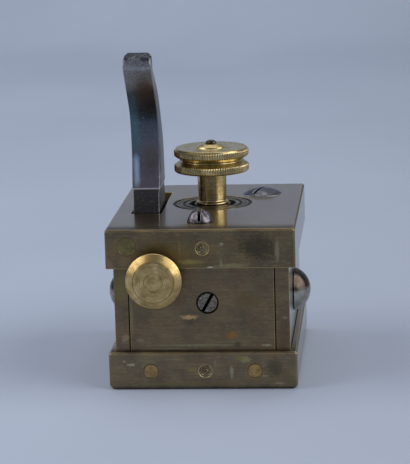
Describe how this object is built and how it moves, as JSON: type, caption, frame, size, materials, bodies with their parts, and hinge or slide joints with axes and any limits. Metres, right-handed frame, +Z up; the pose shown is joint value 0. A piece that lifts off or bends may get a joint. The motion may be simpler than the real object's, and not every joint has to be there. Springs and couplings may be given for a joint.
{
  "type": "scarificator",
  "caption": "Boxed brass scarificator with a steel cocking lever, side trigger button, depth screw and two geared rows of lancets behind a slotted, sliding base tray.",
  "frame": {"origin": "centre of the base tray's underside, in the plane that the instrument stands on", "axes": "+Z up out of the lid along the depth screw; -Y is the front with the trigger; +X to the right seen from the front, away from the lever"},
  "size_m": [0.0422, 0.0549, 0.0669],
  "materials": {
    "case_brass": "satin",
    "turned_brass": "polished",
    "pin_brass": "satin",
    "inner_brass": "satin",
    "steel": "satin",
    "blued_steel": "polished",
    "spring_steel": "polished",
    "blade_steel": "polished"
  },
  "bodies": {
    "case": {"lid": "case_brass", "depth_bush": "turned_brass", "left_side_plate": "case_brass", "right_side_plate": "case_brass", "front_plate": "case_brass", "rear_plate": "case_brass", "front_bridge": "inner_brass", "rear_bridge": "inner_brass", "top_screw": "turned_brass", "rear_screw": "turned_brass", "lid_pins": "pin_brass", "lid_plug": "pin_brass", "idler_stud": "steel", "sear_pin": "steel", "trigger_plate": "inner_brass", "front_plate_screw": "turned_brass", "sear_spring": "spring_steel", "sear_screw": "steel", "mainspring": "spring_steel"},
    "base": {"base_tray": "case_brass", "tray_studs": "pin_brass", "tray_centre_pins": "pin_brass", "nut_post": "steel"},
    "depth": {"depth_knob": "turned_brass", "depth_spindle": "steel", "spindle_collar": "inner_brass", "collar_pin": "steel"},
    "lever": {"cocking_lever": "blued_steel", "drive_sector": "inner_brass", "sector_rivets": "steel", "lever_arbor": "steel", "left_dome": "turned_brass", "right_dome": "turned_brass", "spring_crank": "steel", "crank_pin": "steel"},
    "rear_row": {"rear_arbor": "steel", "rear_spacers": "inner_brass", "rear_wheel": "inner_brass", "rear_pinion": "steel", "rear_lancet_1": "blade_steel", "rear_lancet_2": "blade_steel", "rear_lancet_3": "blade_steel", "rear_lancet_4": "blade_steel"},
    "front_row": {"front_arbor": "steel", "front_spacers": "inner_brass", "front_wheel": "inner_brass", "front_lancet_1": "blade_steel", "front_lancet_2": "blade_steel", "front_lancet_3": "blade_steel", "front_lancet_4": "blade_steel", "front_lancet_5": "blade_steel", "front_lancet_6": "blade_steel"},
    "idler": {"idler_wheel": "inner_brass"},
    "trigger": {"trigger_head": "turned_brass", "trigger_stem": "turned_brass", "trigger_collar": "inner_brass"},
    "sear": {"sear": "steel"}
  },
  "joints": [
    {"name": "lever_turn", "type": "hinge", "parent": "case", "child": "lever", "pos_m": [0, -0.00395, 0.01586], "axis": [-1, 0, 0], "range_deg": [0, 30], "stiffness_Nm_per_rad": 0.15, "springref_deg": -28.65, "deforming": ["mainspring"]},
    {"name": "rear_row_turn", "type": "hinge", "parent": "case", "child": "rear_row", "pos_m": [0, 0.00847, 0.0094], "axis": [1, 0, 0], "range_deg": [0, 180]},
    {"name": "idler_turn", "type": "hinge", "parent": "case", "child": "idler", "pos_m": [0, 0.00147, 0.0094], "axis": [1, 0, 0], "range_deg": [-180, 0]},
    {"name": "front_row_turn", "type": "hinge", "parent": "case", "child": "front_row", "pos_m": [0, -0.00553, 0.0094], "axis": [1, 0, 0], "range_deg": [0, 180]},
    {"name": "trigger_push", "type": "slide", "parent": "case", "child": "trigger", "axis": [0, 1, 0], "range_m": [-0.0005, 0.001], "stiffness_N_per_m": 200, "deforming": ["sear_spring"]},
    {"name": "sear_turn", "type": "hinge", "parent": "case", "child": "sear", "pos_m": [0, -0.017, 0.0189], "axis": [-1, 0, 0], "range_deg": [-6.7, 13.4]},
    {"name": "depth_turn", "type": "hinge", "parent": "case", "child": "depth", "pos_m": [0.0005, 0.00315, 0], "axis": [0, 0, 1], "range_deg": [0, 1080]},
    {"name": "base_slide", "type": "slide", "parent": "case", "child": "base", "axis": [0, 0, 1], "range_m": [-0.0024, 0]}
  ],
  "couplings": [
    {"joint": "rear_row_turn", "follows": "lever_turn", "ratio": 6},
    {"joint": "idler_turn", "follows": "lever_turn", "ratio": -6},
    {"joint": "front_row_turn", "follows": "lever_turn", "ratio": 6},
    {"joint": "sear_turn", "follows": "trigger_push", "rad_per_m": 232.56},
    {"joint": "depth_turn", "follows": "base_slide", "rad_per_m": -7854}
  ]
}
